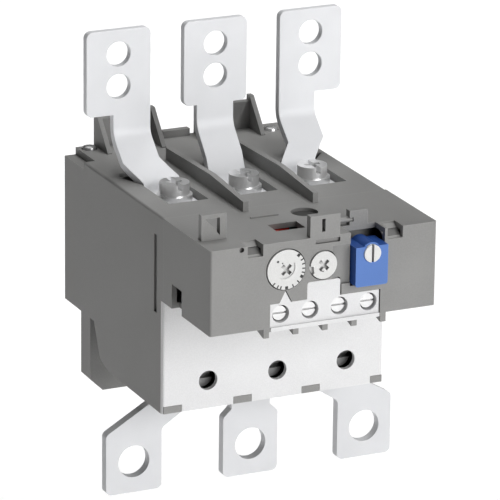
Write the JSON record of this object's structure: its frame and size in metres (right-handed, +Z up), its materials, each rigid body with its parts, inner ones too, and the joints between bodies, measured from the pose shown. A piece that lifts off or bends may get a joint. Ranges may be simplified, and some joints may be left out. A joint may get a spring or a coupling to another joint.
{
  "type": "thermal overload relay",
  "caption": "Thermal overload relay: flat line bars on top, bimetal trip mechanism behind a setting dial and reset button, small terminals in front and load tabs below.",
  "frame": {"origin": "centre of the upper hole of the middle line bar, on the front face of its plate", "axes": "+X right as seen from the front, +Y back towards the contactor, +Z up"},
  "size_m": [0.105, 0.1233, 0.1504],
  "materials": {
    "casing_plastic": "grey moulded, fine grain",
    "cover_plastic": "grey moulded, fine grain",
    "white_plastic": "off-white moulded",
    "dial_plastic": "white moulded",
    "dark_plastic": "black moulded",
    "blue_plastic": "blue, slightly glossy",
    "red_plastic": "red, slightly glossy",
    "tinned_copper": "tin-plated copper, satin",
    "heater_metal": "resistance alloy ribbon",
    "bimetal_metal": "rolled bimetal strip",
    "plated_steel": "zinc-plated steel",
    "spring_steel": "drawn wire",
    "spring_bronze": "bronze strip"
  },
  "bodies": {
    "relay": {"main_housing": "casing_plastic", "head_cover": "cover_plastic", "front_panel": "white_plastic", "aux_terminal_block": "white_plastic", "line_clamp_screws": "plated_steel", "line_clamp_washers": "plated_steel", "line_clamp_nuts": "plated_steel", "load_clamp_screws": "plated_steel", "load_clamp_nuts": "plated_steel", "aux_terminal_screws": "plated_steel", "aux_terminal_clamps": "spring_bronze", "rear_fixing_screws": "plated_steel", "pivot_pins": "spring_steel", "contact_leaf_closed": "spring_bronze", "contact_leaf_open": "spring_bronze", "reset_spring": "spring_steel", "line_bar_left": "tinned_copper", "heater_left": "heater_metal", "bimetal_left": "bimetal_metal", "load_tab_left": "tinned_copper", "line_bar_middle": "tinned_copper", "heater_middle": "heater_metal", "bimetal_middle": "bimetal_metal", "load_tab_middle": "tinned_copper", "line_bar_right": "tinned_copper", "heater_right": "heater_metal", "bimetal_right": "bimetal_metal", "load_tab_right": "tinned_copper"},
    "dial": {"setting_dial": "dial_plastic"},
    "selector": {"mode_selector": "dial_plastic"},
    "button": {"reset_button": "blue_plastic"},
    "stud": {"stop_stud": "dial_plastic"},
    "slider": {"trip_slider": "white_plastic"},
    "lever": {"compensation_lever": "dark_plastic"},
    "rocker": {"contact_rocker": "dark_plastic", "trip_flag": "red_plastic"}
  },
  "joints": [
    {"name": "setting_dial_turn", "type": "hinge", "parent": "relay", "child": "dial", "pos_m": [-0.0149, -0.0877, -0.05], "axis": [0, 1, 0], "range_deg": [-135, 135]},
    {"name": "mode_selector_turn", "type": "hinge", "parent": "relay", "child": "selector", "pos_m": [-0.0017, -0.0877, -0.0502], "axis": [0, 1, 0], "range_deg": [0, 90]},
    {"name": "reset_button_press", "type": "slide", "parent": "relay", "child": "button", "axis": [0, 1, 0], "range_m": [0, 0.003], "stiffness_N_per_m": 300, "springref_m": -0.002, "deforming": ["reset_spring"]},
    {"name": "stop_stud_turn", "type": "hinge", "parent": "button", "child": "stud", "pos_m": [0.0139, -0.087, -0.0473], "axis": [0, 1, 0], "range_deg": [0, 90]},
    {"name": "trip_slider_move", "type": "slide", "parent": "relay", "child": "slider", "axis": [1, 0, 0], "range_m": [0, 0.003]},
    {"name": "lever_turn", "type": "hinge", "parent": "relay", "child": "lever", "pos_m": [0.0295, -0.071, -0.058], "axis": [0, 0, -1], "range_deg": [0, 14.5]},
    {"name": "rocker_turn", "type": "hinge", "parent": "relay", "child": "rocker", "pos_m": [-0.009, -0.061, -0.058], "axis": [0, 0, 1], "range_deg": [0, 15.2]}
  ],
  "couplings": [
    {"joint": "lever_turn", "follows": "trip_slider_move", "rad_per_m": 83.3},
    {"joint": "rocker_turn", "follows": "trip_slider_move", "rad_per_m": 87.2}
  ]
}
